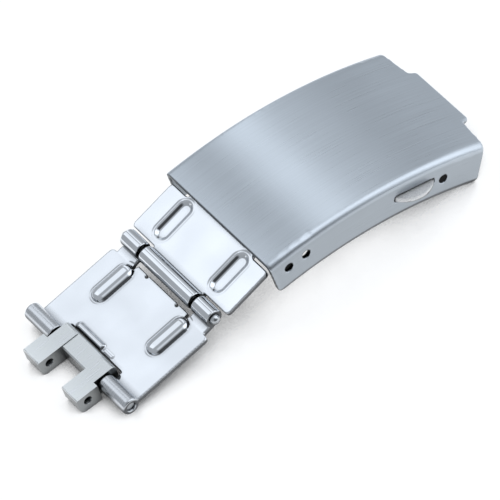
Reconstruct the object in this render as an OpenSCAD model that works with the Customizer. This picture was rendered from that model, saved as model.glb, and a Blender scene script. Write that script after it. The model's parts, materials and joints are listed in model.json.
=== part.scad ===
// Push-button fold-over bracelet clasp in stamped steel, stored open as it lies on a table.
// The curved cover carries two folding blades on rolled knuckles, a forked bracelet link on a cross tube,
// and a latch: two side buttons push a hooked slide away from the heads of the middle hinge pin.
// X runs along the clasp, the cover's tongue towards +X; Y runs across; Z is up from the table.

/* [Cover] */
// width over the side walls of the cover
cover_w = 18; // [16:0.5:22]
// length of the cover along its curved top, without the tongue
cover_l = 28; // [26:0.5:40]
// radius of the curved top
top_r = 53.75; // [40:0.25:80]
// height of the side walls
wall_h = 4.8; // [4.4:0.1:6.5]
// thickness of the cover's sheet
cover_t = 0.6; // [0.4:0.05:0.8]
// outside radius of the rolled edge between top and wall
edge_r = 0.9; // [0.85:0.05:1.6]
// height of the polished bevel along the lower edge of each wall
bevel_h = 0.65; // [0.2:0.05:1.2]
// how far the bevel leans in
bevel_in = 0.3; // [0.1:0.05:0.35]
// rounding of the wall's lower corner at the blade end
near_corner_r = 1; // [0.3:0.1:1.4]
// rounding of the wall's lower corner at the tongue end
far_corner_r = 0.5; // [0.3:0.1:1.4]
// reach of the tongue beyond the wall ends
tongue_l = 1.4; // [1.2:0.1:4]
// width of the tongue at its tip
tongue_w = 9; // [4:0.5:12]
// rise of the end edge beside the tongue
shoulder_l = 0.45; // [0.1:0.05:0.6]
// fillet where the tongue meets the end edge
flank_r = 0.5; // [0.1:0.05:0.6]
// rounding of the tongue's tip corners
tip_r = 0.35; // [0.1:0.05:0.5]

/* [Holes in the walls] */
// diameter of the pin holes
hole_d = 1; // [1:0.02:1.4]
// distance of the blade hinge hole from the blade end
hinge_from_end = 2.1; // [1.9:0.1:2.6]
// depth of the blade hinge hole under the top
hinge_depth = 2; // [1.9:0.05:2.2]
// distance of the spare hole from the blade end
spare_from_end = 4.45; // [4.2:0.05:8]
// depth of the spare hole under the top
spare_depth = 1.95; // [1.4:0.05:3]
// distance of the spring bar hole from the tongue end
bar_from_end = 5.2; // [4:0.1:5.4]
// depth of the spring bar hole under the top
bar_depth = 2.45; // [2.2:0.05:3.2]

/* [Blades] */
// clearance between a blade's edge and the cover's wall
blade_side_gap = 0.15; // [0.05:0.05:0.4]
// thickness of the blades' sheet
blade_t = 0.6; // [0.4:0.05:0.7]
// rounding of the blades' corners
corner_r = 0.4; // [0.1:0.05:0.8]
// how much shorter than the cover the inner blade is, from its cover pin to the middle pin
inner_less = 19; // [18.6:0.1:19.5]
// height of the inner blade's top over the cover pin
inner_top = 1.1; // [1:0.05:1.2]
// height of the middle pin over the cover pin, square to the inner blade
inner_rise = 1.2; // [1.1:0.05:1.3]
// width of the inner blade's tongue round the cover pin
inner_tongue_w = 11; // [6:0.5:13]
// reach of the inner blade's shoulders in under the cover's end
shoulder_in = 0.25; // [0:0.05:0.4]
// how much longer than the inner blade the outer blade is, from the middle pin to the cross tube
outer_more = 3.3; // [3:0.1:7]
// depth of the outer blade's top under the middle pin
outer_drop = 0.72; // [0.6:0.02:0.9]
// distance from the middle pin to the outer blade's edge under the side knuckles
outer_edge = 1.75; // [1.5:0.05:2]
// distance from the middle pin to the outer blade's edge between the side knuckles
mid_edge = 1.3; // [1.25:0.05:1.5]
// outside diameter of the rolled knuckles
knuckle_d = 2; // [1.8:0.05:2.2]
// clearance between a side knuckle and the inner blade's edge
knuckle_side_gap = 0.18; // [0.1:0.01:0.4]
// length of the middle knuckle
mid_knuckle_w = 8.6; // [5:0.1:9]
// how far the middle pin's heads lie inside the blades' edges
head_in = 0.1; // [0:0.05:1]
// gap between two knuckles
knuckle_gap = 0.45; // [0.1:0.05:0.5]
// length of the corner reliefs and of the slits in the outer blade's hinge edge
relief_l = 0.35; // [0.1:0.05:0.6]
// width of each slit
slit_w = 0.3; // [0.1:0.05:0.4]
// distance between the two slits
slit_pitch = 5.2; // [3:0.1:6]

/* [Cross tube] */
// outside diameter of the cross tube
tube_d = 2; // [1.8:0.05:2.1]
// how far the cross tube stands out past the blade on each side
tube_over = 0.5; // [0.1:0.05:1]
// rounding of the cross tube's outer ends
tube_end_r = 0.2; // [0.05:0.05:0.4]
// gap between each tube half and the link's body
tube_gap = 0.3; // [0.1:0.05:0.6]
// clearance round the turning link in the blade's notch
notch_gap = 0.17; // [0.1:0.01:0.4]

/* [Pins] */
// diameter of the hinge pins and of the cross pin
pin_d = 0.96; // [0.8:0.02:0.98]
// radial running clearance between a pin and its bore
run_gap = 0.04; // [0.01:0.01:0.08]
// diameter of the middle pin's heads
head_d = 1.2; // [1.1:0.05:1.4]
// length of the middle pin's heads
head_l = 0.65; // [0.3:0.05:0.7]
// how far a pin's end lies under the face of its hole
pin_sunk = 0.25; // [0.05:0.05:0.3]

/* [Pressed beads] */
// distance of the beads from the inner blade's hinge edge
bead_from_edge = 0.67; // [0.4:0.01:1.2]
// distance of the beads from the end of the inner blade's shoulders
bead_from_shoulder = 0.1; // [0:0.05:0.6]
// width of an oval bead
bead_w = 2; // [1.4:0.1:2.6]
// width of the flat on an oval bead
bead_flat_w = 1; // [0.5:0.1:1.2]
// distance from a blade's side edge to the middle of its bead
bead_from_side = 3.45; // [2:0.05:4.5]
// depth of the inner blade's recessed beads
recess_h = 0.35; // [0.1:0.05:0.4]
// height of the outer blade's raised beads
raised_h = 0.45; // [0.2:0.05:0.5]

/* [Lanced ridge] */
// distance from the ridge's middle to the edge of the link's notch
ridge_from_notch = 0.42; // [0.4:0.02:1.2]
// distance of the ridge's +Y end from the notch's side
ridge_from_side = 0.9; // [0.5:0.05:2]
// radius of the ridge's rounded section
ridge_r = 0.45; // [0.2:0.05:0.5]
// height of the ridge
ridge_h = 0.3; // [0.1:0.05:0.4]
// length of the full ridge
ridge_l = 4; // [2:0.1:5]
// length of the low ridge that goes on from it
low_ridge_l = 1.7; // [1:0.1:2.5]
// height of the low ridge
low_ridge_h = 0.08; // [0.04:0.01:0.2]
// width of the tear between the two
tear_w = 0.3; // [0.1:0.05:0.6]

/* [Fork link] */
// width of the fork link across its prongs
link_w = 9.4; // [8.6:0.1:12]
// width of the link's body between the tube halves
link_body_w = 8.1; // [6:0.1:8.4]
// width of the slot between the prongs
link_slot_w = 4.1; // [2:0.1:5]
// thickness of the link
link_t = 2.25; // [1.9:0.05:2.4]
// height of the link's top over the cross pin
link_top = 0.95; // [0.8:0.05:1.05]
// reach of the link behind the cross pin
link_back = 1.65; // [1.3:0.05:1.7]
// reach of the prongs in front of the cross pin
link_front = 3.85; // [3.6:0.05:7]
// from the cross pin to the shoulders where the prongs widen
link_shoulder = 1.15; // [1.1:0.05:1.5]
// from the cross pin to the bottom of the slot
link_slot_from = 0.8; // [0.7:0.05:1.5]
// how far the bridge between the prongs lies under their tops
bridge_drop = 0.1; // [0.02:0.02:0.3]
// bevel along the bridge's front edge
bridge_bevel = 0.15; // [0.05:0.05:0.3]
// distance between the cross pin and the prong holes
link_hole_from = 2.65; // [2.2:0.05:2.9]
// diameter of the holes through the prongs
link_hole_d = 1; // [0.7:0.05:1.2]
// rounding under the prong tips
nose_r = 0.7; // [0.3:0.05:0.9]
// rounding over the prong tips
nose_top_r = 0.15; // [0.05:0.05:0.5]
// rounding of the link's upper rear edge
link_back_r = 0.5; // [0.3:0.05:0.8]
// rounding of the link's lower rear edge
link_heel_r = 0.9; // [0.5:0.05:1.1]

/* [Button windows] */
// length of the button windows in the walls
window_l = 5.1; // [4.8:0.1:5.4]
// height of the button windows
window_h = 0.8; // [0.7:0.05:0.9]
// depth of the window's upper edge under the top
window_depth = 1.85; // [1.7:0.05:2]
// distance from the shut middle pin to the window's middle, along the cover
window_past_pin = 7.8; // [7.7:0.1:8.1]
// rounding of the window's corners
window_r = 0.2; // [0.05:0.05:0.3]

/* [Buttons] */
// clearance of a button in its window, all round
button_gap = 0.12; // [0.05:0.01:0.2]
// how far a button stands out of its wall
button_out = 1.1; // [1:0.05:1.6]
// travel of the buttons and of the slide
travel = 0.9; // [0.75:0.05:0.9]
// reach of a button's inner shoulders past its window
button_shoulder = 0.4; // [0.2:0.05:0.5]
// width of those shoulders across the clasp
shoulder_w = 0.8; // [0.5:0.05:1]
// clearance between those shoulders and the wall
shoulder_gap = 0.1; // [0.05:0.01:0.2]
// clearance left when a button is pressed right in
press_gap = 0.2; // [0.1:0.05:0.3]

/* [Latch slide] */
// clearance between the slide and a button's wedge
wedge_gap = 0.14; // [0.05:0.01:0.3]
// width of the slide's neck
neck_w = 3.6; // [2:0.1:4]
// width of the slide over its wedge
wedge_w = 8; // [6:0.1:8.4]
// from the window's middle back to where the wedge begins
wedge_from = 2; // [1.8:0.1:2.2]
// length of the slide's straight tail
tail_l = 1; // [0.6:0.1:1.1]
// clearance between the slide and the shut knuckles
latch_gap = 0.35; // [0.2:0.05:0.5]
// length of the slide's crossbar along the clasp
crossbar_l = 1.2; // [0.8:0.1:1.4]
// clearance between the slide's hooks and the walls
hook_side_gap = 0.25; // [0.1:0.05:0.3]
// length of the hook arms along the clasp
arm_l = 0.6; // [0.4:0.05:0.8]
// thickness of the hook lips
lip_t = 0.3; // [0.25:0.05:0.35]
// thickness of the hook lips at their tips
lip_tip_t = 0.1; // [0.05:0.05:0.2]
// length of the slope under each tip, which the pin head pushes the slide back by
lip_slope_l = 0.4; // [0.3:0.05:0.6]
// clearance between a hook lip and a pin head when the clasp is shut
lip_gap = 0.1; // [0.05:0.05:0.15]
// reach of a hook lip past the middle of the pin head
lip_past = 0.15; // [0.05:0.05:0.2]

/* [Latch bracket] */
// thickness of the latch bracket
bracket_t = 0.4; // [0.3:0.05:0.45]
// width of the latch bracket
bracket_w = 11; // [9:0.5:13]
// clearance between the neck and the bracket's legs
leg_gap = 0.5; // [0.2:0.05:0.8]
// width of the leg that holds the spring
spring_leg_w = 5; // [2:0.5:6]
// length of each welded foot
foot_l = 1.5; // [1:0.1:1.6]
// gap left by the weld between a foot and the cover
weld_gap = 0.02; // [0.01:0.01:0.05]
// outside diameter of the latch spring
spring_d = 1; // [0.6:0.05:1.1]
// clearance round the latch spring
spring_gap = 0.05; // [0.02:0.01:0.1]
// depth of the spring's notch behind the wedge's start
notch_back = 0.5; // [0.2:0.1:1]

/* [Spring bar] */
// diameter of the spring bar's tube
bar_d = 1.5; // [1.4:0.05:1.7]
// wall of the spring bar's tube
bar_wall = 0.2; // [0.1:0.05:0.22]
// diameter of the spring bar's tips
bar_tip_d = 0.9; // [0.8:0.02:0.94]
// gap between the spring bar's tube and each wall
bar_end_gap = 1; // [0.8:0.05:1.5]
// length of the crimp that holds each tip in the tube
crimp_l = 0.4; // [0.2:0.05:0.6]
// length of each tip's collar
collar_l = 0.6; // [0.3:0.05:1]
// how far a tip's end lies under the wall's outer face
bar_tip_sunk = 0.1; // [0.05:0.05:0.3]
// travel of each tip
bar_travel = 0.8; // [0.7:0.05:1]

/* [Rest position] */
// slope of the inner blade against the middle of the cover
inner_slope = 27.1; // [20:0.1:40]
// slope of the outer blade against the middle of the cover
outer_slope = 18.7; // [10:0.1:35]
// slope of the fork link against the middle of the cover
link_slope = 13.1; // [5:0.1:35]

/* [Hidden] */
$fn = 64;
curve_fn = 720;
eps = 0.02;
inner_w = cover_w - 2 * cover_t;
blade_w = inner_w - 2 * blade_side_gap;
inner_l = cover_l - inner_less;
outer_l = inner_l + outer_more;
knuckles_w = blade_w - 2 * head_in - 2 * head_l;
side_knuckle_w = (knuckles_w - mid_knuckle_w) / 2 - knuckle_gap;
pin_bore_d = pin_d + 2 * run_gap;
// the inner blade's plate, as distances from the cover pin
plate_from = -inner_l + knuckle_d / 2 + knuckle_side_gap;
plate_to = shoulder_in - hinge_from_end;
bead_l = plate_to - plate_from - bead_from_edge - bead_from_shoulder;
bead_from_pin = inner_l + plate_from + bead_from_edge + bead_l / 2;
bead_y = blade_w / 2 - bead_from_side;
tube_w = blade_w + 2 * tube_over;
tube_z = tube_d / 2 - blade_t - outer_drop;
notch_w = link_body_w + 2 * tube_gap;
// the farthest that a rear edge of the link reaches as it turns
link_under = link_t - link_top;
link_swing_r = max(norm([link_back - link_back_r, link_top - link_back_r]) + link_back_r,
  norm([link_back - link_heel_r, link_under - link_heel_r]) + link_heel_r);
notch_edge = outer_l - link_swing_r - notch_gap;
window_from_end = hinge_from_end + inner_l + window_past_pin;
window_mid_depth = window_depth + window_h / 2;
button_t = window_h - 2 * button_gap;
button_l = window_l - 2 * button_gap;

// a point of the cover: distance from the blade end along the top, and depth under it
function arc_angle(a) = (a - cover_l / 2) / top_r * 180 / PI;
function on_cover(a, depth) =
  [(top_r - depth) * sin(arc_angle(a)), 0, (top_r - depth) * cos(arc_angle(a)) - top_r];
// a point of a piece that slopes down towards -X, in that piece's own x and z
function along(origin, slope, x, z) =
  origin + [x * cos(slope) - z * sin(slope), 0, x * sin(slope) + z * cos(slope)];

hinge_at = on_cover(hinge_from_end, hinge_depth);
middle_at = along(hinge_at, inner_slope, -inner_l, inner_rise);
tube_at = along(middle_at, outer_slope, -outer_l, tube_z);
prong_hole_at = along(tube_at, link_slope, -link_hole_from, 0);
bar_at = on_cover(cover_l - bar_from_end, bar_depth);

// the clasp rests on the round under the prong tips and on the wall's corner under the tongue
link_foot = along(tube_at, link_slope, -link_front + nose_r, nose_r - link_under);
cover_foot = along(on_cover(cover_l, wall_h), -arc_angle(cover_l), -far_corner_r, far_corner_r);
foot_run = cover_foot - link_foot;
rest_tilt = atan2(foot_run[2], foot_run[0]) - asin((far_corner_r - nose_r) / norm(foot_run));
function turned(p) =
  [p[0] * cos(rest_tilt) + p[2] * sin(rest_tilt), 0, p[2] * cos(rest_tilt) - p[0] * sin(rest_tilt)];
link_tip = along(tube_at, link_slope, -link_front + nose_top_r, link_top - nose_top_r);
tongue_fall = top_r - sqrt(pow(top_r, 2) - pow(tongue_l, 2));
cover_tip = along(on_cover(cover_l, 0), -arc_angle(cover_l), tongue_l, -tongue_fall);
rest_shift = [(nose_top_r - turned(link_tip)[0] - turned(cover_tip)[0]) / 2, 0,
  nose_r - turned(link_foot)[2]];
function at_rest(p) = turned(p) + rest_shift;

// the middle hinge pin when the clasp is shut: the inner blade then lies along the cover
shut_slope = arc_angle(hinge_from_end + inner_l / 2);
shut_middle_at = along(hinge_at, -shut_slope, inner_l, -inner_rise);
shut_turn = 180 - inner_slope - shut_slope;
shut_fold = 180 - inner_slope + outer_slope;

// the shut pin heads in the latch's frame
latch_offset = shut_middle_at - on_cover(window_from_end, window_mid_depth);
latch_angle = arc_angle(window_from_end);
shut_head = [latch_offset[0] * cos(latch_angle) - latch_offset[2] * sin(latch_angle),
  latch_offset[0] * sin(latch_angle) + latch_offset[2] * cos(latch_angle)];
arm_from = shut_head[0] + knuckle_d / 2 + latch_gap;
hook_in = knuckles_w / 2 + run_gap * 2;
hook_out = inner_w / 2 - hook_side_gap;
lip_top = shut_head[1] - head_d / 2 - lip_gap;
wedge_to = (wedge_w - neck_w) / 2 - wedge_from;
spring_from = -wedge_from - notch_back;
web_top = -spring_d / 2 - spring_gap;
spring_leg_at = wedge_to + tail_l + travel + press_gap;
neck_leg_at = arm_from + crossbar_l + travel + press_gap;

bar_w = inner_w - 2 * bar_end_gap;
bar_bore_d = bar_d - 2 * bar_wall;
collar_to = bar_w / 2 - crimp_l - run_gap;

// the piece to show

module at_table() {
  translate(rest_shift)
    rotate([0, rest_tilt, 0])
      children();
}

// the frame of a point of the cover: x along its curve, z out of its top
module on_arc(a, depth = 0) {
  translate(on_cover(a, depth))
    rotate([0, arc_angle(a), 0])
      children();
}

module on_inner_blade() {
  translate(hinge_at)
    rotate([0, -inner_slope, 0])
      children();
}

module on_outer_blade() {
  translate(middle_at)
    rotate([0, -outer_slope, 0])
      children();
}

module on_link() {
  translate(tube_at)
    rotate([0, -link_slope, 0])
      children();
}

// a cylinder across the clasp, centred on it
module across(d, w, x = 0, z = 0) {
  translate([x, w / 2, z])
    rotate([90, 0, 0])
      cylinder(h = w, d = d);
}

// a side view (x to the right, z up) drawn across the clasp between two values of y
module side_view(y_from, y_to) {
  translate([0, y_to, 0])
    rotate([90, 0, 0])
      linear_extrude(y_to - y_from)
        children();
}

// a part turn of a section about the centre of the cover's curve
module sweep(a_from, a_to) {
  translate([0, 0, -top_r])
    rotate([90, 0, 0])
      rotate([0, 0, 90 - arc_angle(a_to)])
        rotate_extrude(angle = arc_angle(a_to) - arc_angle(a_from), $fn = curve_fn)
          children();
}

// both sides of the clasp, for a child drawn on the +Y side
module both_sides() {
  children();
  mirror([0, 1, 0])
    children();
}

// an oval form with sloping sides, its wide face at z = 0 and its flat at -h
module bead_form(length, wide, narrow, h) {
  run = length - wide;
  for (side = [-1, 1])
    translate([side * run / 2, 0, -h])
      cylinder(h = h, d1 = narrow, d2 = wide);
  translate([-run / 2, 0, -h])
    rotate([90, 0, 90])
      linear_extrude(run)
        polygon([[-narrow / 2, 0], [narrow / 2, 0], [wide / 2, h], [-wide / 2, h]]);
}

module rounded_sheet(l, w, r) {
  square([l - 2 * r, w], center = true);
  square([l, w - 2 * r], center = true);
  for (x = [-1, 1], y = [-1, 1])
    translate([x * (l / 2 - r), y * (w / 2 - r)])
      circle(r);
}

// what a rounding takes off a corner at the origin, of a shape that lies towards +x and +y
module corner_cut(r) {
  difference() {
    translate([-r, -r])
      square(2 * r);
    translate([r, r])
      circle(r);
  }
}

// section of the cover: radius from the centre of its curve to the right, width upwards
module channel_section() {
  difference() {
    translate([top_r - wall_h, 0])
      channel_outline(wall_h, cover_w, edge_r);
    translate([top_r - cover_t - 2 * wall_h, 0])
      channel_outline(2 * wall_h, inner_w, edge_r - cover_t);
    both_sides()
      polygon([[top_r - wall_h - bevel_h, cover_w / 2 - 2 * bevel_in],
        [top_r - wall_h + bevel_h, cover_w / 2],
        [top_r - wall_h + bevel_h, cover_w],
        [top_r - wall_h - bevel_h, cover_w]]);
  }
}

// a rectangle from x = 0 to h, its two far corners rounded
module channel_outline(h, w, r) {
  difference() {
    translate([0, -w / 2])
      square([h, w]);
    both_sides()
      translate([h, w / 2])
        rotate(180)
          corner_cut(r);
  }
}

// plan of the tongue end: the end edge rises to the tongue, whose flanks are filleted
module tongue_plan() {
  fillet_r = min(flank_r, tongue_l - tip_r - shoulder_l);
  polygon([[-cover_l, -cover_w], [0, -cover_w], [0, -cover_w / 2], [shoulder_l, -tongue_w / 2 - fillet_r],
    [shoulder_l, tongue_w / 2 + fillet_r], [0, cover_w / 2], [0, cover_w], [-cover_l, cover_w]]);
  translate([0, -tongue_w / 2])
    square([tongue_l - tip_r, tongue_w]);
  translate([0, tip_r - tongue_w / 2])
    square([tongue_l, tongue_w - 2 * tip_r]);
  both_sides() {
    translate([tongue_l - tip_r, tongue_w / 2 - tip_r])
      circle(tip_r);
    translate([shoulder_l, tongue_w / 2])
      difference() {
        square(fillet_r);
        translate([fillet_r, fillet_r])
          circle(fillet_r);
      }
  }
}

module cover() {
  color("silver")
    at_table()
      difference() {
        sweep(0, cover_l + tongue_l)
          channel_section();
        on_arc(cover_l)
          translate([0, 0, -2 * wall_h])
            linear_extrude(3 * wall_h)
              difference() {
                translate([0, -cover_w])
                  square([2 * tongue_l, 2 * cover_w]);
                tongue_plan();
              }
        on_arc(0, wall_h)
          side_view(-cover_w, cover_w)
            corner_cut(near_corner_r);
        on_arc(cover_l, wall_h)
          side_view(-cover_w, cover_w)
            mirror([1, 0])
              corner_cut(far_corner_r);
        on_arc(hinge_from_end, hinge_depth)
          across(hole_d, 2 * cover_w);
        on_arc(spare_from_end, spare_depth)
          across(hole_d, 2 * cover_w);
        on_arc(cover_l - bar_from_end, bar_depth)
          across(hole_d, 2 * cover_w);
        on_arc(window_from_end, window_mid_depth)
          side_view(-cover_w, cover_w)
            rounded_sheet(window_l, window_h, window_r);
      }
}

// the pin that hinges the inner blade, its ends inside the wall holes
module cover_pin() {
  color("lightgray")
    at_table()
      on_arc(hinge_from_end, hinge_depth)
        across(pin_d, cover_w - 2 * pin_sunk);
}

// plan of the inner blade: the full-width plate, its tongue to the cover pin, its strip to the middle pin
module inner_plan() {
  plate_mid = (plate_from + plate_to) / 2;
  translate([plate_mid, 0])
    rounded_sheet(plate_to - plate_from, blade_w, corner_r);
  translate([plate_mid, -inner_tongue_w / 2])
    square([-plate_mid, inner_tongue_w]);
  translate([-inner_l, -mid_knuckle_w / 2])
    square([inner_l + plate_mid, mid_knuckle_w]);
}

module inner_blade() {
  plate_under = inner_top - blade_t;
  color("gainsboro")
    at_table()
      on_inner_blade()
        difference() {
          union() {
            translate([0, 0, plate_under])
              linear_extrude(blade_t)
                inner_plan();
            across(2 * inner_top, inner_tongue_w);
            across(knuckle_d, mid_knuckle_w, -inner_l, inner_rise);
            side_view(-mid_knuckle_w / 2, mid_knuckle_w / 2)
              polygon([[-inner_l, inner_rise - knuckle_d / 2], [-inner_l + knuckle_d, plate_under],
                [-inner_l, plate_under]]);
            both_sides()
              translate([bead_from_pin - inner_l, bead_y, plate_under])
                bead_form(bead_l, bead_w, bead_flat_w, recess_h);
          }
          across(pin_bore_d, 2 * cover_w);
          across(pin_bore_d, 2 * cover_w, -inner_l, inner_rise);
          both_sides()
            translate([bead_from_pin - inner_l, bead_y, inner_top + eps])
              bead_form(bead_l, bead_w, bead_flat_w, recess_h + eps);
        }
}

// the middle hinge pin, with a domed head against each side knuckle
module middle_pin() {
  dome_r = head_d / 2;
  color("lightgray")
    at_table()
      translate(middle_at) {
        across(pin_d, knuckles_w + eps);
        both_sides()
          translate([0, knuckles_w / 2 + eps / 2, 0])
            rotate([-90, 0, 0])
              rotate_extrude()
                intersection() {
                  square([head_d / 2, head_l - eps]);
                  translate([0, head_l - eps - dome_r])
                    union() {
                      circle(dome_r);
                      translate([0, -head_l])
                        square([dome_r, head_l]);
                    }
                }
      }
}

// plan of the outer blade: a hinge edge that steps out between the side knuckles, with relieved corners
// and two slits, and a notch for the link's body
module outer_plan() {
  difference() {
    union() {
      translate([-(outer_l + outer_edge) / 2, 0])
        rounded_sheet(outer_l - outer_edge, blade_w, corner_r);
      translate([-outer_edge - corner_r, -mid_knuckle_w / 2])
        square([outer_edge + corner_r - mid_edge, mid_knuckle_w]);
    }
    translate([-notch_edge - outer_l, -notch_w / 2])
      square([outer_l, notch_w]);
    both_sides() {
      translate([-outer_edge - relief_l, mid_knuckle_w / 2])
        square([2 * relief_l, knuckle_gap]);
      translate([-mid_edge - relief_l, (slit_pitch - slit_w) / 2])
        square([2 * relief_l, slit_w]);
    }
  }
}

// side view of a side knuckle and of the step that joins it to the outer blade's plate
module side_knuckle_section() {
  under = [-outer_edge, -outer_drop - blade_t];
  knuckle_r = knuckle_d / 2;
  step_slope = atan2(-under[1], -under[0]) - asin(knuckle_r / norm(under));
  touch = [knuckle_r * sin(step_slope), -knuckle_r * cos(step_slope)];
  circle(knuckle_r);
  polygon([under - [corner_r, 0], under, touch, touch + blade_t * [-sin(step_slope), cos(step_slope)],
    under + [0, blade_t], under + [-corner_r, blade_t]]);
}

// the ridge lanced up across the blade in front of the link, with a low run past a tear
module ridge() {
  ridge_x = ridge_from_notch - notch_edge;
  ridge_y = notch_w / 2 - ridge_from_side;
  translate([ridge_x, ridge_y, ridge_h - ridge_r]) {
    sphere(ridge_r);
    rotate([90, 0, 0])
      cylinder(h = ridge_l, r = ridge_r);
  }
  translate([ridge_x, ridge_y - ridge_l - tear_w, low_ridge_h - ridge_r])
    rotate([90, 0, 0])
      cylinder(h = low_ridge_l - tear_w, r = ridge_r);
}

// the +Y half of the cross tube, its outer end rounded
module tube_half() {
  half_l = (tube_w - notch_w) / 2;
  translate([-outer_l, notch_w / 2, tube_z])
    rotate([-90, 0, 0])
      rotate_extrude()
        difference() {
          square([tube_d / 2, half_l]);
          translate([tube_d / 2, half_l])
            rotate(180)
              corner_cut(tube_end_r);
        }
}

module outer_blade() {
  side_knuckle_at = mid_knuckle_w / 2 + knuckle_gap;
  color("gainsboro")
    at_table()
      on_outer_blade()
        difference() {
          union() {
            translate([0, 0, -outer_drop - blade_t])
              linear_extrude(blade_t)
                outer_plan();
            both_sides() {
              side_view(side_knuckle_at, side_knuckle_at + side_knuckle_w)
                side_knuckle_section();
              tube_half();
              translate([-bead_from_pin, bead_y, -outer_drop])
                mirror([0, 0, 1])
                  bead_form(bead_l, bead_w, bead_flat_w, raised_h);
            }
            intersection() {
              translate([0, 0, -outer_drop])
                ridge();
              translate([-outer_l, -cover_w, -outer_drop - eps])
                cube([outer_l, 2 * cover_w, wall_h]);
            }
          }
          across(pin_bore_d, 2 * cover_w);
          across(pin_bore_d, 2 * cover_w, -outer_l, tube_z);
          both_sides()
            translate([-bead_from_pin, bead_y, -outer_drop - blade_t - eps])
              mirror([0, 0, 1])
                bead_form(bead_l, bead_w, bead_flat_w, raised_h + eps);
        }
}

// the pin that the fork link turns on, inside the two halves of the cross tube
module cross_pin() {
  color("lightgray")
    at_table()
      translate(tube_at)
        across(pin_d, tube_w - 2 * pin_sunk);
}

// side view of the link: square over the prong tips, well rounded under them
module link_outline() {
  difference() {
    translate([-link_front, -link_under])
      square([link_front + link_back, link_t]);
    translate([-link_front, -link_under])
      corner_cut(nose_r);
    translate([-link_front, link_top])
      mirror([0, 1])
        corner_cut(nose_top_r);
    translate([link_back, -link_under])
      mirror([1, 0])
        corner_cut(link_heel_r);
    translate([link_back, link_top])
      rotate(180)
        corner_cut(link_back_r);
  }
}

// the forked link that the bracelet is pinned to
module fork_link() {
  bridge_top = link_top - bridge_drop;
  color("darkgray")
    at_table()
      on_link()
        difference() {
          side_view(-link_w / 2, link_w / 2)
            link_outline();
          both_sides()
            translate([-link_shoulder, link_body_w / 2, -link_t])
              cube([2 * link_front, link_w, 2 * link_t]);
          translate([-2 * link_front - link_slot_from, -link_slot_w / 2, -link_t])
            cube([2 * link_front, link_slot_w, 2 * link_t]);
          translate([-2 * link_front, -link_slot_w / 2, bridge_top])
            cube([4 * link_front, link_slot_w, link_t]);
          side_view(-link_slot_w / 2, link_slot_w / 2)
            polygon([[-link_slot_from - bridge_bevel, bridge_top - 2 * bridge_bevel],
              [-link_slot_from + 2 * bridge_bevel, bridge_top + bridge_bevel],
              [-link_slot_from - bridge_bevel, bridge_top + bridge_bevel]]);
          across(pin_bore_d, 2 * link_w);
          across(link_hole_d, 2 * link_w, -link_hole_from);
        }
}

// the latch's own frame: the middle of the button windows
module on_latch() {
  at_table()
    on_arc(window_from_end, window_mid_depth)
      children();
}

// the sprung slide: crossbar with two hooks, neck, and a wedge between the buttons
module latch_slide() {
  color("gray")
    on_latch() {
      linear_extrude(button_t, center = true)
        difference() {
          union() {
            translate([arm_from, -hook_out])
              square([crossbar_l, 2 * hook_out]);
            polygon([[arm_from, -neck_w / 2], [-wedge_from, -neck_w / 2], [wedge_to, -wedge_w / 2],
              [wedge_to + tail_l, -wedge_w / 2], [wedge_to + tail_l, wedge_w / 2],
              [wedge_to, wedge_w / 2], [-wedge_from, neck_w / 2], [arm_from, neck_w / 2]]);
          }
          translate([spring_from, -spring_d / 2 - spring_gap])
            square([2 * cover_l, spring_d + 2 * spring_gap]);
        }
      both_sides()
        side_view(hook_in, hook_out)
          hook_outline();
    }
}

// side view of a hook: an arm down from the crossbar and a lip under the pin head, sloped under its tip
module hook_outline() {
  lip_from = shut_head[0] - lip_past;
  arm_to = arm_from + arm_l;
  polygon([[lip_from, lip_top], [lip_from, lip_top - lip_tip_t], [lip_from + lip_slope_l, lip_top - lip_t],
    [arm_to, lip_top - lip_t], [arm_to, button_t / 2], [arm_from, button_t / 2], [arm_from, lip_top]]);
}

// what lies within a radius of the curve's centre, in side view in the latch's frame
module within(r) {
  translate([0, window_mid_depth - top_r])
    circle(r, $fn = curve_fn);
}

// side view of a leg of the bracket, its inner face at x = 0, with its web to +x and its foot to -x
module leg_section(web_l) {
  difference() {
    intersection() {
      children(0);
      translate([-bracket_t - foot_l, web_top - bracket_t])
        square([foot_l + bracket_t + web_l, wall_h]);
    }
    intersection() {
      children(1);
      translate([-bracket_t - foot_l, web_top - bracket_t])
        square([foot_l, wall_h]);
    }
    translate([0, web_top])
      square([web_l, wall_h]);
  }
}

// the bracket welded under the cover, which carries the slide and the fixed end of the spring
module latch_bracket() {
  under_r = top_r - cover_t - weld_gap;
  neck_inner = neck_leg_at + bracket_t;
  color("dimgray")
    on_latch()
      difference() {
        union() {
          side_view(-bracket_w / 2, bracket_w / 2)
            translate([neck_inner, 0])
              leg_section(spring_leg_at + bracket_t - neck_inner) {
                translate([-neck_inner, 0])
                  within(under_r);
                translate([-neck_inner, 0])
                  within(under_r - bracket_t);
              }
          side_view(-spring_leg_w / 2, spring_leg_w / 2)
            translate([spring_leg_at, 0])
              mirror([1, 0])
                leg_section(bracket_t) {
                  mirror([1, 0])
                    translate([-spring_leg_at, 0])
                      within(under_r);
                  mirror([1, 0])
                    translate([-spring_leg_at, 0])
                      within(under_r - bracket_t);
                }
        }
        translate([neck_leg_at - bracket_t, -neck_w / 2 - leg_gap, web_top])
          cube([3 * bracket_t, neck_w + 2 * leg_gap, -2 * web_top]);
      }
}

// the spring that pushes the slide back, drawn at its length when the buttons are out
module latch_spring() {
  color("lightslategray")
    on_latch()
      translate([spring_from + spring_gap, 0, 0])
        rotate([0, 90, 0])
          cylinder(h = spring_leg_at - spring_from - 2 * spring_gap, d = spring_d);
}

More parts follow.
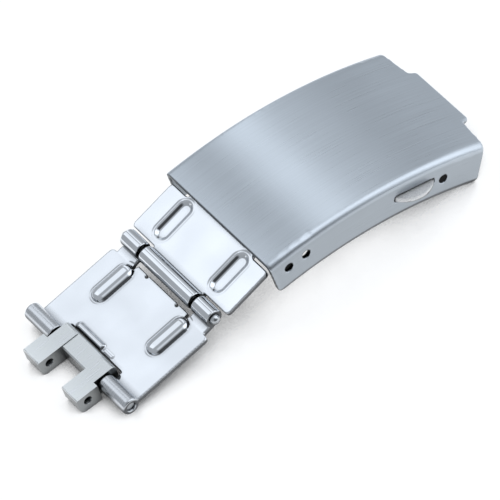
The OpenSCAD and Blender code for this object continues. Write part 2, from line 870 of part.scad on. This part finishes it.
// plan of the +Y button: round outer edge, shoulders inside the wall, and a wedge face towards the slide
module button_plan() {
  outer_y = cover_w / 2;
  stop_y = inner_w / 2 - shoulder_gap;
  nose_y = neck_w / 2 + travel + press_gap;
  heel_y = wedge_w / 2 + travel + press_gap;
  wedge_y = neck_w / 2 + wedge_gap;
  crown_r = (pow(button_l / 2, 2) + pow(button_out, 2)) / (2 * button_out);
  polygon([[-button_l / 2, nose_y], [nose_y - wedge_y - wedge_from, nose_y],
    [wedge_to, wedge_y + wedge_to + wedge_from], [wedge_to, heel_y], [button_l / 2, heel_y],
    [button_l / 2, outer_y], [-button_l / 2, outer_y]]);
  translate([-button_l / 2 - button_shoulder, stop_y - shoulder_w])
    square([button_l + 2 * button_shoulder, shoulder_w]);
  intersection() {
    translate([0, outer_y + button_out - crown_r])
      circle(crown_r);
    translate([-button_l / 2, outer_y - eps])
      square([button_l, 2 * button_out]);
  }
}

module button_plate() {
  on_latch()
    linear_extrude(button_t, center = true)
      children();
}

// the button on the +Y side
module left_button() {
  color("lightgray")
    button_plate()
      button_plan();
}

// the button on the -Y side
module right_button() {
  color("lightgray")
    button_plate()
      mirror([0, 1])
        button_plan();
}

module on_bar() {
  at_table()
    on_arc(cover_l - bar_from_end, bar_depth)
      children();
}

// the spring bar's tube, crimped in at both ends round the tips
module spring_bar_tube() {
  color("silver")
    on_bar()
      difference() {
        across(bar_d, bar_w);
        across(bar_bore_d, bar_w - 2 * crimp_l);
        across(bar_tip_d + 2 * run_gap, 2 * bar_w);
      }
}

// the +Y tip: a collar inside the tube and a shank out to the wall
module bar_tip() {
  rotate([-90, 0, 0]) {
    translate([0, 0, collar_to - collar_l])
      cylinder(h = collar_l, d = bar_bore_d - 2 * run_gap);
    translate([0, 0, collar_to - collar_l])
      cylinder(h = cover_w / 2 - bar_tip_sunk - collar_to + collar_l, d = bar_tip_d);
  }
}

module spring_bar_left_tip() {
  color("lightgray")
    on_bar()
      bar_tip();
}

module spring_bar_right_tip() {
  color("lightgray")
    on_bar()
      mirror([0, 1, 0])
        bar_tip();
}

// the spring between the two collars
module spring_bar_spring() {
  color("lightslategray")
    on_bar()
      across(bar_bore_d - 2 * run_gap, 2 * (collar_to - collar_l - run_gap));
}

cover();
cover_pin();
inner_blade();
middle_pin();
outer_blade();
cross_pin();
fork_link();
latch_bracket();
latch_slide();
latch_spring();
left_button();
right_button();
spring_bar_tube();
spring_bar_left_tip();
spring_bar_right_tip();
spring_bar_spring();
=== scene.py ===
"""Looks of the fold-over bracelet clasp: finishes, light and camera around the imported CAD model."""

import json
import math

import bpy
import numpy as np
from mathutils import Matrix, Vector


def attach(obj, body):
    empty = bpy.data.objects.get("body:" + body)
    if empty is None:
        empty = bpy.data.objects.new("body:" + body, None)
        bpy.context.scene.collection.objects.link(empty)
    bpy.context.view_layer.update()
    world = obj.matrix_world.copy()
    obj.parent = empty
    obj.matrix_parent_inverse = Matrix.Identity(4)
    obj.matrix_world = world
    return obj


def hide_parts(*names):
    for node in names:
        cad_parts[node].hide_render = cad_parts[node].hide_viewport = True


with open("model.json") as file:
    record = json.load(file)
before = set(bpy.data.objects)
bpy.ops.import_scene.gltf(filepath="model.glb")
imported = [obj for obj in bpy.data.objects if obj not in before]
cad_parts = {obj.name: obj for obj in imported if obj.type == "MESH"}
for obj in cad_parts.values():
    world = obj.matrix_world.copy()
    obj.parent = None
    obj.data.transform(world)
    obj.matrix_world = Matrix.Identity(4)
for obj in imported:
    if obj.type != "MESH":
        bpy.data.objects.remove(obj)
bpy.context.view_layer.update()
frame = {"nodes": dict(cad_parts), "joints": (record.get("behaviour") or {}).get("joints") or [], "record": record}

MM = 0.001

# Camera: where the photograph was taken from
VIEW_AZIMUTH = math.radians(-26.505)
VIEW_ELEVATION = math.radians(49.676)
VIEW_ROLL = math.radians(-13.709)
VIEW_DISTANCE = 712.47 * MM
VIEW_TARGET = Vector((-0.520, -0.653, 1.374)) * MM
LENS = 500.34
SENSOR = 36.0
CLIP = 0.05, 20.0

# The cover's curve, and how its blade hinge lies under it
TOP_RADIUS = 53.75 * MM
HINGE_DEPTH = 2.0 * MM
HINGE_ANGLE = math.radians(-5.112)


def make_camera():
    back = Vector((math.sin(VIEW_AZIMUTH) * math.cos(VIEW_ELEVATION),
                   -math.cos(VIEW_AZIMUTH) * math.cos(VIEW_ELEVATION),
                   math.sin(VIEW_ELEVATION)))
    level = Vector((math.cos(VIEW_AZIMUTH), math.sin(VIEW_AZIMUTH), 0.0))
    upright = back.cross(level)
    right = level * math.cos(VIEW_ROLL) + upright * math.sin(VIEW_ROLL)
    up = back.cross(right)
    data = bpy.data.cameras.new("camera")
    data.lens = LENS
    data.sensor_width = SENSOR
    data.clip_start, data.clip_end = CLIP
    camera = bpy.data.objects.new("camera", data)
    bpy.context.scene.collection.objects.link(camera)
    turn = Matrix((right, up, back)).transposed().to_4x4()
    camera.matrix_world = Matrix.Translation(VIEW_TARGET + back * VIEW_DISTANCE) @ turn
    bpy.context.scene.camera = camera


def rgba(colour, factor=1.0):
    return (*(min(1.0, c * factor) for c in colour), 1.0)


def place_of(name):
    """Where a joint or a mount is"""
    rows = [*frame["joints"], *frame["record"]["mounts"]]
    return Vector(next(row for row in rows if row["name"] == name)["pos_m"])


def curve_centre():
    """The middle of the cover's curve, from the blade hinge in its wall"""
    hinge = place_of("cover_hinge")
    depth = TOP_RADIUS - HINGE_DEPTH
    return hinge - depth * Vector((math.sin(HINGE_ANGLE), 0.0, math.cos(HINGE_ANGLE)))


BLACK = (0.0, 0.0, 0.0, 1.0)
WHITE = (1.0, 1.0, 1.0, 1.0)
# Where nearly all values of a noise lie
NOISE_SPREAD = (0.3, 0.7)
OCCLUSION_SAMPLES = 4


class Tree:
    """A short way to write a material's or the world's nodes."""

    def __init__(self, owner):
        owner.use_nodes = True
        self.tree = owner.node_tree
        self.tree.nodes.clear()

    def node(self, kind, **settings):
        made = self.tree.nodes.new(kind)
        for name, value in settings.items():
            setattr(made, name, value)
        return made

    def link(self, source, target):
        self.tree.links.new(source, target)

    def feed(self, socket, value):
        if isinstance(value, bpy.types.NodeSocket):
            self.link(value, socket)
        else:
            socket.default_value = value

    def math(self, operation, first, second=0.0):
        made = self.node("ShaderNodeMath", operation=operation)
        self.feed(made.inputs[0], first)
        self.feed(made.inputs[1], second)
        return made.outputs[0]

    def place(self):
        """x, y and z of a surface point, in the part's frame, in metres"""
        split = self.node("ShaderNodeSeparateXYZ")
        self.link(self.node("ShaderNodeTexCoord").outputs["Object"], split.inputs[0])
        return split.outputs

    def join(self, x, y, z):
        made = self.node("ShaderNodeCombineXYZ")
        for socket, value in zip(made.inputs, (x, y, z)):
            self.feed(socket, value)
        return made.outputs[0]

    def noise(self, vector, scale=1.0, detail=2.0, roughness=0.5):
        made = self.node("ShaderNodeTexNoise")
        self.link(vector, made.inputs["Vector"])
        made.inputs["Scale"].default_value = scale
        made.inputs["Detail"].default_value = detail
        made.inputs["Roughness"].default_value = roughness
        return made.outputs["Fac"]

    def span(self, value, low, high, from_low=0.0, from_high=1.0):
        made = self.node("ShaderNodeMapRange")
        self.feed(made.inputs["Value"], value)
        made.inputs["From Min"].default_value = from_low
        made.inputs["From Max"].default_value = from_high
        made.inputs["To Min"].default_value = low
        made.inputs["To Max"].default_value = high
        return made.outputs["Result"]

    def grain(self, x, y, z, lines_x, lines_y, lines_z):
        """Noise drawn out into lines: so many to the metre in each direction"""
        stretched = [self.math("MULTIPLY", value, lines)
                     for value, lines in ((x, lines_x), (y, lines_y), (z, lines_z))]
        return self.noise(self.join(*stretched), detail=3.0, roughness=0.6)

    def vary(self, noise, low, high, spread=NOISE_SPREAD):
        """From low to high as the noise goes from end to end of its usual spread"""
        return self.span(noise, low, high, *spread)

    def tint(self, noise, colour, low, high, spread=NOISE_SPREAD):
        """The same between two shades of a colour"""
        return self.mix(self.vary(noise, 0.0, 1.0, spread), rgba(colour, low), rgba(colour, high))

    def from_axis(self, x, z, axis):
        """How far along x and along z a point is from an axis along y, and its distance"""
        off_x = self.math("SUBTRACT", x, axis.x)
        off_z = self.math("SUBTRACT", z, axis.z)
        square = self.math("ADD", self.math("POWER", off_x, 2.0), self.math("POWER", off_z, 2.0))
        return off_x, off_z, self.math("SQRT", square)

    def mix(self, share, first, second):
        made = self.node("ShaderNodeMix", data_type="RGBA")
        self.feed(made.inputs["Factor"], share)
        self.feed(made.inputs["A"], first)
        self.feed(made.inputs["B"], second)
        return made.outputs["Result"]

    def open_to_light(self, reach, low, high):
        """0 in nooks and 1 on open faces, between the shares low and high of free directions"""
        made = self.node("ShaderNodeAmbientOcclusion")
        made.inputs["Distance"].default_value = reach
        made.samples = OCCLUSION_SAMPLES
        return self.span(made.outputs["AO"], 0.0, 1.0, low, high)

    def bump(self, height, strength, depth):
        made = self.node("ShaderNodeBump")
        made.inputs["Strength"].default_value = strength
        made.inputs["Distance"].default_value = depth
        self.link(height, made.inputs["Height"])
        return made.outputs["Normal"]


# The upward part of a face's normal below which a face gets full painted shade, and above which none
FULL_SHADE_BELOW = 0.10
NO_SHADE_ABOVE = 0.45
# Painted shade: how much darker the rounded lower edges and the sheet's end are. Each pair is a
# part of the normal, upward or along x: where the shade begins and is full, where undersides end it
PAINTED_EDGE_SHADE = 0.75
LOWER_EDGE = (-0.05, -0.30)
UNDERSIDE = (-0.75, -0.95)
SHADED_END = (-0.55, -0.80)
# Painted shade in nooks: how far nooks are looked for, and the free share above which a face is open
NOOK_REACH = 1.5 * MM
NOOK_OPEN = 0.62
# The bores in the cover's walls, painted black inside as shade, and where the walls begin
WALL_BORES = ("cover_hinge", "spare_side_holes", "bracelet_spring_bar")
BORE_RADIUS = 0.50 * MM
BORE_EDGE = 0.06 * MM
WALL_FROM = 8.2 * MM
WALL_EDGE = 0.05 * MM


def in_bore(tree, axis):
    """1 inside the bore on this axis along y, where it goes through one of the cover's walls"""
    x, y, z = tree.place()
    _, _, off = tree.from_axis(x, z, axis)
    within = tree.span(off, 1.0, 0.0, BORE_RADIUS, BORE_RADIUS + BORE_EDGE)
    in_wall = tree.span(tree.math("ABSOLUTE", y), 0.0, 1.0, WALL_FROM, WALL_FROM + WALL_EDGE)
    return tree.math("MULTIPLY", within, in_wall)


def metal(name, colour, detail, rough, anisotropy=0.0, side=0.5, shaded_end=False, shaded_bores=(),
          nook_shade=0.08):
    """A metal whose colour, roughness, normal and tangent come from detail(tree, colour, rough).

    Painted shade: faces that look sideways or down keep only a share of the colour, set by the
    side share, and rounded lower edges are darker; with the shaded end flag so is the sheet's end.
    The bores listed are painted black inside, and so are nooks where no more than a given share of all directions
    is free."""
    material = bpy.data.materials.new(name)
    tree = Tree(material)
    shader = tree.node("ShaderNodeBsdfPrincipled")
    shader.inputs["Metallic"].default_value = 1.0
    shader.inputs["Anisotropic"].default_value = anisotropy
    colour_out, rough_out, normal_out, tangent = detail(tree, colour, rough)
    facing = tree.node("ShaderNodeSeparateXYZ")
    tree.link(tree.node("ShaderNodeTexCoord").outputs["Normal"], facing.inputs[0])
    along, _, upward = facing.outputs
    # Painted shade: faces that look sideways or down keep only the side share of the colour
    sideways_shade = tree.span(upward, 1.0, 0.0, FULL_SHADE_BELOW, NO_SHADE_ABOVE)
    colour_out = tree.mix(tree.math("MULTIPLY", sideways_shade, 1.0 - side), colour_out, BLACK)
    # Painted shade on the rounded lower edges, ending on undersides
    lower_edge_shade = tree.math("MULTIPLY", tree.span(upward, 0.0, PAINTED_EDGE_SHADE, *LOWER_EDGE),
                      tree.span(upward, 1.0, 0.0, *UNDERSIDE))
    colour_out = tree.mix(lower_edge_shade, colour_out, BLACK)
    # Painted shade on the sheet's end, which faces along -x
    if shaded_end:
        colour_out = tree.mix(tree.span(along, 0.0, PAINTED_EDGE_SHADE, *SHADED_END), colour_out, BLACK)
    # Painted shade: nooks go black
    colour_out = tree.mix(tree.open_to_light(NOOK_REACH, nook_shade, NOOK_OPEN), BLACK, colour_out)
    # Painted shade: the listed bores are painted black inside
    for bore in shaded_bores:
        colour_out = tree.mix(in_bore(tree, place_of(bore)), colour_out, BLACK)
    tree.feed(shader.inputs["Base Color"], colour_out)
    tree.feed(shader.inputs["Roughness"], rough_out)
    if normal_out is not None:
        tree.link(normal_out, shader.inputs["Normal"])
    if tangent is not None:
        tree.link(tangent, shader.inputs["Tangent"])
    output = tree.node("ShaderNodeOutputMaterial")
    tree.link(shader.outputs[0], output.inputs["Surface"])
    return material


# Lines of brushing and turning to the metre, across them and along them
BRUSHED = 8000.0
BRUSHED_LENGTHWISE = 90.0
TURNED = 9000.0
SLOW = 300.0
# The link is lighter towards its tips than at its bridge
BRIDGE_DARKER = 0.14
TIPS_X = -26.0 * MM
BRIDGE_X = -22.6 * MM
# The cross tube, a little over its radius, and where its rings have ended
TUBE_RADIUS = 1.05 * MM
TUBE_EDGE = 0.1 * MM
TUBE_ROUGH = (0.16, 0.34)
# How much of the cover's shade comes from its brushed lines, and how much from soft clouds
LINES_SHARE = 0.7
CLOUD_SHARE = 0.3
# Painted shade: what is left of the colour where polished faces stand close together
# CLOSE_SHADE = 0.40
CLOSE_SHADE = 0.40


def brushed_along(tree, colour, rough):
    """Fine lines along the cover's curve, worked out from the place on that curve."""
    x, y, z = tree.place()
    off_x, off_z, radius = tree.from_axis(x, z, curve_centre())
    run = tree.math("MULTIPLY", tree.math("ARCTAN2", off_x, off_z), TOP_RADIUS)
    lines = tree.grain(run, y, radius, BRUSHED_LENGTHWISE, BRUSHED, BRUSHED)
    cloud = tree.noise(tree.join(x, y, z), scale=160.0, detail=1.0)
    shade = tree.math("ADD", tree.math("MULTIPLY", lines, LINES_SHARE),
                      tree.math("MULTIPLY", cloud, CLOUD_SHARE))
    return (tree.tint(shade, colour, low=0.93, high=1.06),
            tree.vary(lines, rough - 0.03, rough + 0.03),
            tree.bump(lines, strength=0.12, depth=0.004 * MM), tree.join(0.0, 1.0, 0.0))


def brushed_lengthwise(tree, colour, rough):
    """Fine lines along x, on faces lighter towards the link's tips than at its bridge."""
    x, y, z = tree.place()
    lines = tree.grain(x, y, z, SLOW, BRUSHED, SLOW)
    # Darker towards the bridge than at the tips
    towards_bridge = tree.span(x, 0.0, BRIDGE_DARKER, TIPS_X, BRIDGE_X)
    return (tree.mix(towards_bridge, tree.tint(lines, colour, low=0.96, high=1.03), BLACK),
            tree.vary(lines, rough - 0.04, rough + 0.04),
            tree.bump(lines, strength=0.12, depth=0.004 * MM), tree.join(0.0, 1.0, 0.0))


def turned(tree, colour, rough):
    """Fine rings round a pin or a tube, which lies along y."""
    lines = tree.grain(*tree.place(), SLOW, TURNED, SLOW)
    return (tree.tint(lines, colour, low=0.92, high=1.06),
            tree.vary(lines, rough - 0.05, rough + 0.05),
            tree.bump(lines, strength=0.2, depth=0.003 * MM), None)


def polished(tree, colour, rough):
    """A mirror finish, slightly uneven as stamped sheet is, with fine handling marks."""
    place = tree.join(*tree.place())
    waves = tree.noise(place, scale=220.0, detail=1.5)
    marks = tree.noise(place, scale=2600.0, detail=2.0, roughness=0.7)
    # Painted shade where polished faces stand close together
    apart = tree.open_to_light(reach=0.8 * MM, low=0.45, high=0.95)
    shaded = tree.mix(apart, rgba(colour, CLOSE_SHADE),
                      tree.tint(waves, colour, low=0.93, high=1.05))
    return (shaded, tree.vary(marks, rough - 0.03, rough + 0.05, spread=(0.35, 0.75)),
            tree.bump(waves, strength=0.35, depth=0.03 * MM), None)


def polished_blade(tree, colour, rough):
    """The mirror finish, with fine rings round the cross tube."""
    colour_out, rough_out, normal_out, _ = polished(tree, colour, rough)
    x, y, z = tree.place()
    _, _, off = tree.from_axis(x, z, place_of("link_hinge"))
    on_tube = tree.span(off, 1.0, 0.0, TUBE_RADIUS, TUBE_RADIUS + TUBE_EDGE)
    rings = tree.grain(0.0, y, 0.0, 1.0, TURNED, 1.0)
    apart = tree.math("SUBTRACT", tree.vary(rings, *TUBE_ROUGH), rough_out)
    return (tree.mix(on_tube, colour_out, tree.tint(rings, colour, low=0.70, high=1.0)),
            tree.math("ADD", rough_out, tree.math("MULTIPLY", apart, on_tube)), normal_out, None)


def blasted(tree, colour, rough):
    """A fine grainy finish."""
    grain = tree.noise(tree.join(*tree.place()), scale=9000.0, detail=2.0, roughness=0.7)
    return (tree.tint(grain, colour, low=0.85, high=1.1, spread=(0.35, 0.65)),
            tree.vary(grain, rough - 0.06, rough + 0.06),
            tree.bump(grain, strength=0.4, depth=0.006 * MM), None)


def make_materials():
    hinge_bore, _, bar_bore = WALL_BORES
    return {
        "brushed_cover": metal("cover_steel", (0.64, 0.70, 0.76), brushed_along, rough=0.30,
                               anisotropy=0.8, side=0.62, shaded_end=True, shaded_bores=WALL_BORES),
        "polished_blades": metal("blade_steel", (0.83, 0.865, 0.91), polished_blade, rough=0.08,
                                 side=0.14),
        "satin_link": metal("link_steel", (0.93, 0.97, 1.0), brushed_lengthwise, rough=0.30,
                            anisotropy=0.4, side=0.32),
        "pins": metal("pin_steel", (0.66, 0.69, 0.72), turned, rough=0.25,
                      shaded_bores=(hinge_bore,)),
        "latch_steel": metal("latch_steel", (0.55, 0.58, 0.61), polished, rough=0.35),
        "springs": metal("spring_steel", (0.45, 0.47, 0.50), turned, rough=0.30),
        "buttons": metal("button_steel", (0.96, 0.97, 0.98), blasted, rough=0.80, side=1.0,
                         nook_shade=-0.8),
        "spring_bar": metal("bar_steel", (0.68, 0.70, 0.73), turned, rough=0.22,
                            shaded_bores=(bar_bore,)),
    }


# Corners nearer than this are one corner
WELD = 0.001 * MM
# The skins of the pressed pieces: size of their cells, and rounds of smoothing before and after the
# shaping
BLADE_CELL = 0.075 * MM
COVER_CELL = 0.10 * MM
ROUNDS_BEFORE = 4
ROUNDS_AFTER = 2
# Corners this near to the cover's radius lie on its curve, and lines this near, in radians, are one
ON_CURVE = 0.002 * MM
SAME_LINE = 0.002
# The slopes of the two blades as they lie
INNER_SLOPE = math.radians(19.53)
OUTER_SLOPE = math.radians(11.13)
# The oval beads: place from the middle pin and from the middle of the blade, half the length of the
# straight part, half width at the rim and at the flat, how round the raised ones are
BEAD_FROM_PIN = 4.45 * MM
BEAD_FROM_MIDDLE = 4.8 * MM
BEAD_HALF_RUN = 1.6 * MM
BEAD_RIM = 1.0 * MM
BEAD_FLAT = 0.5 * MM
BEAD_ROUND = 2.2
RECESS_DEPTH = 0.35 * MM
RAISED_HEIGHT = 0.45 * MM
# The thickness of the sheet
SHEET = 0.6 * MM
# The rolled-in shoulder round each bead, and how soon the new form goes over into the sheet
HALO = 0.45 * MM
HALO_DEPTH = 0.045 * MM
BLEND = 0.1 * MM
# The percentile of the heights round a bead that is taken as the sheet's top face
TOP_PERCENTILE = 90


def mesh_again(source, cell):
    """The source's shape as an even mesh of cells, in the world's frame"""
    work = bpy.data.objects.new("work", source.data.copy())
    work.data.transform(source.matrix_world)
    bpy.context.scene.collection.objects.link(work)
    weld = work.modifiers.new("weld", "WELD")
    weld.merge_threshold = WELD
    remesh = work.modifiers.new("cells", "REMESH")
    remesh.mode = "VOXEL"
    remesh.voxel_size = cell
    bpy.context.view_layer.update()
    graph = bpy.context.evaluated_depsgraph_get()
    mesh = bpy.data.meshes.new_from_object(work.evaluated_get(graph))
    bpy.data.objects.remove(work)
    return mesh


def smoothed(places, ends, rounds):
    """Each place moved towards its neighbours' mean, so many times"""
    first, second = ends.T
    from_all = np.concatenate((first, second))
    to_all = np.concatenate((second, first))
    neighbours = np.bincount(to_all, minlength=len(places))[:, None]
    for _ in range(rounds):
        total = np.stack([np.bincount(to_all, places[from_all, axis], len(places))
                          for axis in range(3)], axis=1)
        places = 0.5 * places + 0.5 * total / neighbours
    return places


def eased(share):
    share = np.clip(share, 0.0, 1.0)
    return share * share * (3.0 - 2.0 * share)


def recess(off):
    """Height over the sheet at this distance from a recessed bead's middle line: a steep wall in a
    soft shoulder"""
    wall = eased((BEAD_RIM - off) / (BEAD_RIM - BEAD_FLAT))
    return -(RECESS_DEPTH - HALO_DEPTH) * wall - HALO_DEPTH * eased((BEAD_RIM + HALO - off) / HALO)


def dome(off):
    """The same over a raised bead: a dome with a steep foot, in a soft shoulder"""
    swell = np.sqrt(np.clip(1.0 - (off / BEAD_RIM) ** BEAD_ROUND, 0.0, 1.0))
    shoulder = eased((BEAD_RIM + HALO - off) / HALO) * (off > BEAD_RIM)
    return RAISED_HEIGHT * swell - HALO_DEPTH * shoulder


def shape_beads(places, middle, towards, rise, profile):
    """Gives the beads of one blade their rounded form: rise is the CAD bead's height, and profile
    the new height over the sheet"""
    up = np.array([-towards.z, 0.0, towards.x]) * (1.0 if towards.x > 0 else -1.0)
    off_pin = places - np.array(middle)
    along = off_pin @ np.array(towards)
    height = off_pin @ up
    run = np.maximum(np.abs(along - BEAD_FROM_PIN) - BEAD_HALF_RUN, 0.0)
    off = np.hypot(run, np.abs(places[:, 1]) - BEAD_FROM_MIDDLE)
    flat = (off > BEAD_RIM + BLEND) & (off < BEAD_RIM + HALO)
    top = np.percentile(height[flat], TOP_PERCENTILE)
    cad = top + rise * np.clip((BEAD_RIM - off) / (BEAD_RIM - BEAD_FLAT), 0.0, 1.0)
    depth = np.where(height > cad - SHEET / 2, 0.0, SHEET)
    share = eased((BEAD_RIM + HALO - off) / BLEND)
    wanted = top - depth + profile(off)
    return places + ((wanted - height) * share)[:, None] * up


def on_curve(places, centre):
    """Distance from the centre and angle from the upright, of each place"""
    off_x, off_z = places[:, 0] - centre.x, places[:, 2] - centre.z
    return np.hypot(off_x, off_z), np.arctan2(off_x, off_z)


def rounded(places):
    """The cover's curve is made of flats: the places are moved onto the arc just inside them"""
    centre = curve_centre()
    source = frame["nodes"]["cover"]
    corners = np.array([source.matrix_world @ vertex.co for vertex in source.data.vertices])
    radius, turn = on_curve(corners, centre)
    lines = np.sort(turn[radius > TOP_RADIUS - ON_CURVE])
    lines = lines[np.concatenate(([True], np.diff(lines) > SAME_LINE))]
    halves = np.diff(lines) / 2
    radius, turn = on_curve(places, centre)
    flat = np.clip(np.searchsorted(lines, turn) - 1, 0, len(halves) - 1)
    half = halves[flat]
    from_middle = np.clip(turn - (lines[flat] + half), -half, half)
    share = np.cos(from_middle) / np.cos(half) * np.cos(halves.max())
    middle = np.array((centre.x, 0.0, centre.z))
    scale = np.stack((share, np.ones_like(share), share), axis=1)
    return middle + (places - middle) * scale


def make_skin(node, body, cell, material, shape):
    """A pressed node meshed again, smoothed and shaped, as a piece that stands for it"""
    mesh = mesh_again(frame["nodes"][node], cell)
    places = np.empty(len(mesh.vertices) * 3)
    mesh.vertices.foreach_get("co", places)
    ends = np.empty(len(mesh.edges) * 2, dtype=np.int64)
    mesh.edges.foreach_get("vertices", ends)
    ends = ends.reshape(-1, 2)
    places = smoothed(places.reshape(-1, 3), ends, ROUNDS_BEFORE)
    places = smoothed(shape(places), ends, ROUNDS_AFTER)
    mesh.vertices.foreach_set("co", places.ravel())
    mesh.polygons.foreach_set("use_smooth", [True] * len(mesh.polygons))
    mesh.materials.clear()
    mesh.materials.append(material)
    mesh.update()
    skin = bpy.data.objects.new(node + "_skin", mesh)
    bpy.context.scene.collection.objects.link(skin)
    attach(skin, body)
    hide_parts(node)


def make_skins(materials):
    middle = place_of("middle_hinge")
    inner_way = Vector((math.cos(INNER_SLOPE), 0.0, math.sin(INNER_SLOPE)))
    outer_way = Vector((-math.cos(OUTER_SLOPE), 0.0, -math.sin(OUTER_SLOPE)))
    polish = materials["polished_blades"]
    make_skin("inner_blade", "inner_blade", BLADE_CELL, polish,
              lambda places: shape_beads(places, middle, inner_way, -RECESS_DEPTH, recess))
    make_skin("outer_blade", "outer_blade", BLADE_CELL, polish,
              lambda places: shape_beads(places, middle, outer_way, RAISED_HEIGHT, dome))
    make_skin("cover", "cover", COVER_CELL, materials["brushed_cover"], rounded)


# The soft edges of the plain nodes
EDGE_WIDTH = 0.04 * MM
EDGE_STEPS = 2
EDGE_ANGLE = math.radians(35)


def dress_nodes(materials):
    for part in frame["record"]["subparts"]:
        thing = frame["nodes"][part["node"]]
        thing.data.materials.clear()
        thing.data.materials.append(materials[part["material_slot"]])
        weld = thing.modifiers.new("weld", "WELD")
        weld.merge_threshold = WELD
        bevel = thing.modifiers.new("soft_edges", "BEVEL")
        bevel.width = EDGE_WIDTH
        bevel.segments = EDGE_STEPS
        bevel.limit_method = "ANGLE"
        bevel.angle_limit = EDGE_ANGLE
        bevel.harden_normals = True


# The studio's soft boxes, as directions: low and high x, low and high y, brightness and soft edge
SOFT_BOXES = {
    "behind the inner blade": ((-0.42, -0.14), (0.40, 0.78), 1.10, 0.03),
    "behind the outer blade": ((-0.14, 0.15), (0.40, 0.78), 1.00, 0.03),
    "over": ((-0.30, 0.08), (-0.30, 0.05), 0.75, 0.08),
    "gap": ((0.18, 0.25), (0.30, 0.90), 0.50, 0.04),
    "middle": ((0.29, 0.42), (0.30, 0.90), 1.25, 0.05),
    "slope": ((0.44, 0.58), (0.30, 0.90), 0.60, 0.04),
    "far right": ((0.74, 0.98), (-0.60, 0.42), 0.90, 0.05),
}
# The strip that lights the cover's rolled edges, brighter than the dark side behind it
EDGE_STRIP = ((0.06, 0.80), (-0.66, 0.10), 1.00, 0.10)
# The dome behind them, how high over the horizon they begin, and the colour of all the light
DOME_LEVEL = 0.42
HORIZON_HEIGHT = 0.15
LIGHT_COLOUR = (0.945, 0.985, 1.035)
# The dark side of the studio, in front of the clasp
DARK_SIDE = Vector((-0.15, -0.87, 0.47))
DARK_FROM, DARK_TO = 0.74, 0.95
DARK_LEVEL = 0.14


def make_world():
    world = bpy.data.worlds.new("studio")
    bpy.context.scene.world = world
    tree = Tree(world)
    direction = tree.node("ShaderNodeTexCoord").outputs["Generated"]
    split = tree.node("ShaderNodeSeparateXYZ")
    tree.link(direction, split.inputs[0])
    x, y, z = split.outputs
    above = tree.span(z, 0.0, 1.0, 0.0, HORIZON_HEIGHT)

    def inside(value, low, high, soft):
        """1 between low and high, falling to 0 over the soft edge"""
        rise = tree.span(value, 0.0, 1.0, low - soft, low + soft)
        fall = tree.span(value, 1.0, 0.0, high - soft, high + soft)
        return tree.math("MULTIPLY", rise, fall)

    def box(across_x, across_y, soft):
        """1 inside a soft box, over the horizon"""
        both = tree.math("MULTIPLY", inside(x, *across_x, soft), inside(y, *across_y, soft))
        return tree.math("MULTIPLY", both, above)

    level = DOME_LEVEL
    for across_x, across_y, strength, soft in SOFT_BOXES.values():
        share = box(across_x, across_y, soft)
        level = tree.math("ADD", level, tree.math("MULTIPLY", share, strength - DOME_LEVEL))
    towards = tree.node("ShaderNodeVectorMath", operation="DOT_PRODUCT")
    tree.link(direction, towards.inputs[0])
    towards.inputs[1].default_value = DARK_SIDE
    shade = tree.span(towards.outputs["Value"], 1.0, DARK_LEVEL, DARK_FROM, DARK_TO)
    level = tree.math("MULTIPLY", level, shade)
    across_x, across_y, strength, soft = EDGE_STRIP
    strip = tree.math("MULTIPLY", box(across_x, across_y, soft), strength)
    level = tree.math("ADD", level, strip)
    seen = tree.node("ShaderNodeLightPath").outputs["Is Camera Ray"]
    lit = tree.join(*(tree.math("MULTIPLY", level, t) for t in LIGHT_COLOUR))
    sky = tree.node("ShaderNodeBackground")
    tree.link(tree.mix(seen, lit, WHITE), sky.inputs["Color"])
    output = tree.node("ShaderNodeOutputWorld")
    tree.link(sky.outputs[0], output.inputs["Surface"])


# The round sheet of white paper that the clasp lies on: its glow in the painted shadow and in the
# open, how far away the things that throw the painted shadow are looked for, and the shares of free
# directions between which the painted shadow fades
FLOOR_RADIUS = 90 * MM
FLOOR_SIDES = 64
PAPER = (0.36, 0.375, 0.39, 1.0)
PAPER_LIGHT = (0.04, 0.82)
SHADOW_REACH = 9 * MM
SHADOW_FADE = (0.28, 0.42)


def make_floor():
    mesh = bpy.data.meshes.new("floor")
    corners = [FLOOR_RADIUS * Vector((math.cos(turn), math.sin(turn), 0.0))
               for turn in (math.tau * k / FLOOR_SIDES for k in range(FLOOR_SIDES))]
    mesh.from_pydata(corners, [], [list(range(FLOOR_SIDES))])
    floor = bpy.data.objects.new("floor", mesh)
    bpy.context.scene.collection.objects.link(floor)
    material = bpy.data.materials.new("white_paper")
    tree = Tree(material)
    paper = tree.node("ShaderNodeBsdfDiffuse")
    paper.inputs["Color"].default_value = PAPER
    glow = tree.node("ShaderNodeEmission")
    glow.inputs["Color"].default_value = WHITE
    path = tree.node("ShaderNodeLightPath")
    seen = tree.math("MAXIMUM", path.outputs["Is Camera Ray"],
                     tree.math("MAXIMUM", path.outputs["Is Glossy Ray"],
                               path.outputs["Is Transmission Ray"]))
    # Painted shadow: the glow that the camera and reflections see is dimmed near the clasp
    light = tree.span(tree.open_to_light(SHADOW_REACH, *SHADOW_FADE), *PAPER_LIGHT)
    tree.link(tree.math("MULTIPLY", seen, light), glow.inputs["Strength"])
    both = tree.node("ShaderNodeAddShader")
    tree.link(paper.outputs[0], both.inputs[0])
    tree.link(glow.outputs[0], both.inputs[1])
    output = tree.node("ShaderNodeOutputMaterial")
    tree.link(both.outputs[0], output.inputs["Surface"])
    mesh.materials.append(material)


bpy.context.scene.view_settings.view_transform = "Standard"
make_camera()
make_world()
make_floor()
materials = make_materials()
dress_nodes(materials)
make_skins(materials)
